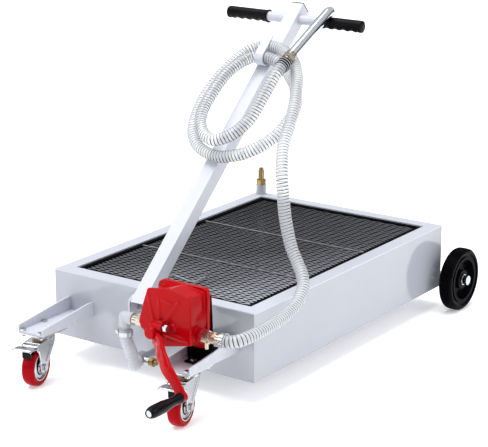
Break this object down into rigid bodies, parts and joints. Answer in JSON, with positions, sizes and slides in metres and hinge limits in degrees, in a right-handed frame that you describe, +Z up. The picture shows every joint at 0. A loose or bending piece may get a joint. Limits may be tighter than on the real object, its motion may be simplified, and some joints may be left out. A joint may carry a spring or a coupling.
{
  "type": "wheeled oil drain pan",
  "caption": "Low rectangular oil drain tank on wheels with a drop-in mesh screen, a leaning T handle, a hand-cranked rotary pump and a coiled discharge hose.",
  "frame": {"origin": "on the floor, under the middle of the object's length and width, the discharge hose and nozzle left out", "axes": "+Z up, +Y from the pump end towards the fixed wheels, +X to the right seen from the pump end"},
  "size_m": [0.7849, 1.4244, 0.87],
  "materials": {
    "grey_paint": "smooth light grey powder coat with a slight gloss",
    "red_paint": "red enamel over rough sand-cast iron",
    "black_paint": "satin black paint",
    "zinc": "bright zinc plate",
    "mesh_steel": "dark expanded steel mesh",
    "tyre_rubber": "black ribbed rubber",
    "red_tread": "red moulded caster tread",
    "grip_rubber": "black soft rubber",
    "black_plastic": "black moulded plastic",
    "grey_pipe": "light grey paint on pipe fittings",
    "clear_hose": "clear vinyl over a dark spiral wire",
    "brass": "dull yellow brass with machining marks",
    "chrome": "polished plating",
    "rotor_steel": "machined grey iron"
  },
  "bodies": {
    "cart": {"tank_body": "grey_paint", "tank_rim": "grey_paint", "arm_left": "grey_paint", "arm_right": "grey_paint", "caster_plates": "zinc", "caster_bolts": "zinc", "rear_axle": "zinc", "axle_brackets": "zinc", "axle_nuts": "zinc", "handle_bracket": "grey_paint", "pivot_bolt": "zinc", "corner_pipe": "grey_pipe", "corner_bushing": "brass", "corner_barb": "brass", "pump_foot": "black_paint", "pump_body": "red_paint", "pump_cover": "red_paint", "pump_bolts": "zinc", "pump_inlet": "brass", "inlet_elbow": "grey_pipe", "suction_hose": "clear_hose", "hose_clamps": "zinc", "outlet_elbow": "grey_pipe", "tank_outlet": "zinc", "drain_plug": "brass", "pump_outlet": "brass"},
    "screen": {"screen_frame": "black_paint", "screen_mesh": "mesh_steel", "screen_rods": "zinc", "screen_pull": "zinc"},
    "handle": {"handle_tube": "grey_paint", "tube_cap": "grip_rubber", "t_bar": "grey_paint", "grip_left": "grip_rubber", "grip_right": "grip_rubber", "hose_hook": "grey_paint", "discharge_hose": "clear_hose", "hose_end_clamp": "grip_rubber", "nozzle_fitting": "brass", "nozzle_spout": "chrome"},
    "crank": {"pump_rotor": "rotor_steel", "crank_hub": "red_paint", "crank_arm": "red_paint", "crank_bolt": "zinc", "crank_pin": "zinc"},
    "knob": {"crank_grip": "black_plastic"},
    "swivel_left": {"fork_left": "zinc", "caster_axle_left": "zinc"},
    "swivel_right": {"fork_right": "zinc", "caster_axle_right": "zinc"},
    "caster_wheel_left": {"caster_tread_left": "red_tread", "caster_hub_left": "zinc"},
    "caster_wheel_right": {"caster_tread_right": "red_tread", "caster_hub_right": "zinc"},
    "brake_left": {"pedal_left": "zinc"},
    "brake_right": {"pedal_right": "zinc"},
    "wheel_left": {"tyre_left": "tyre_rubber", "rim_left": "black_paint"},
    "wheel_right": {"tyre_right": "tyre_rubber", "rim_right": "black_paint"}
  },
  "joints": [
    {"name": "handle_fold", "type": "hinge", "parent": "cart", "child": "handle", "pos_m": [0.009, -0.35226, 0.22293], "axis": [1, 0, 0], "range_deg": [0, 47], "deforming": ["discharge_hose"]},
    {"name": "screen_lift", "type": "slide", "parent": "cart", "child": "screen", "axis": [0, 0, 1], "range_m": [0, 0.035]},
    {"name": "crank_spin", "type": "hinge", "parent": "cart", "child": "crank", "pos_m": [0.162, -0.51325, 0.221], "axis": [0, -1, 0], "continuous": true},
    {"name": "grip_spin", "type": "hinge", "parent": "crank", "child": "knob", "pos_m": [0.304, -0.64925, 0.116], "axis": [0, -1, 0], "continuous": true},
    {"name": "swivel_left", "type": "hinge", "parent": "cart", "child": "swivel_left", "pos_m": [-0.225, -0.45825, 0.12], "axis": [0, 0, 1], "continuous": true},
    {"name": "caster_spin_left", "type": "hinge", "parent": "swivel_left", "child": "caster_wheel_left", "pos_m": [-0.216, -0.49722, 0.05], "axis": [0.9744, 0.225, 0], "continuous": true},
    {"name": "pedal_press_left", "type": "hinge", "parent": "swivel_left", "child": "brake_left", "pos_m": [-0.21038, -0.52158, 0.107], "axis": [0.9744, 0.225, 0], "range_deg": [0, 5]},
    {"name": "wheel_spin_left", "type": "hinge", "parent": "cart", "child": "wheel_left", "pos_m": [-0.36, 0.62475, 0.0875], "axis": [1, 0, 0], "continuous": true},
    {"name": "swivel_right", "type": "hinge", "parent": "cart", "child": "swivel_right", "pos_m": [0.225, -0.45825, 0.12], "axis": [0, 0, 1], "continuous": true},
    {"name": "caster_spin_right", "type": "hinge", "parent": "swivel_right", "child": "caster_wheel_right", "pos_m": [0.23332, -0.49738, 0.05], "axis": [0.9781, 0.2079, 0], "continuous": true},
    {"name": "pedal_press_right", "type": "hinge", "parent": "swivel_right", "child": "brake_right", "pos_m": [0.23851, -0.52183, 0.107], "axis": [0.9781, 0.2079, 0], "range_deg": [0, 5]},
    {"name": "wheel_spin_right", "type": "hinge", "parent": "cart", "child": "wheel_right", "pos_m": [0.36, 0.62475, 0.0875], "axis": [1, 0, 0], "continuous": true}
  ]
}
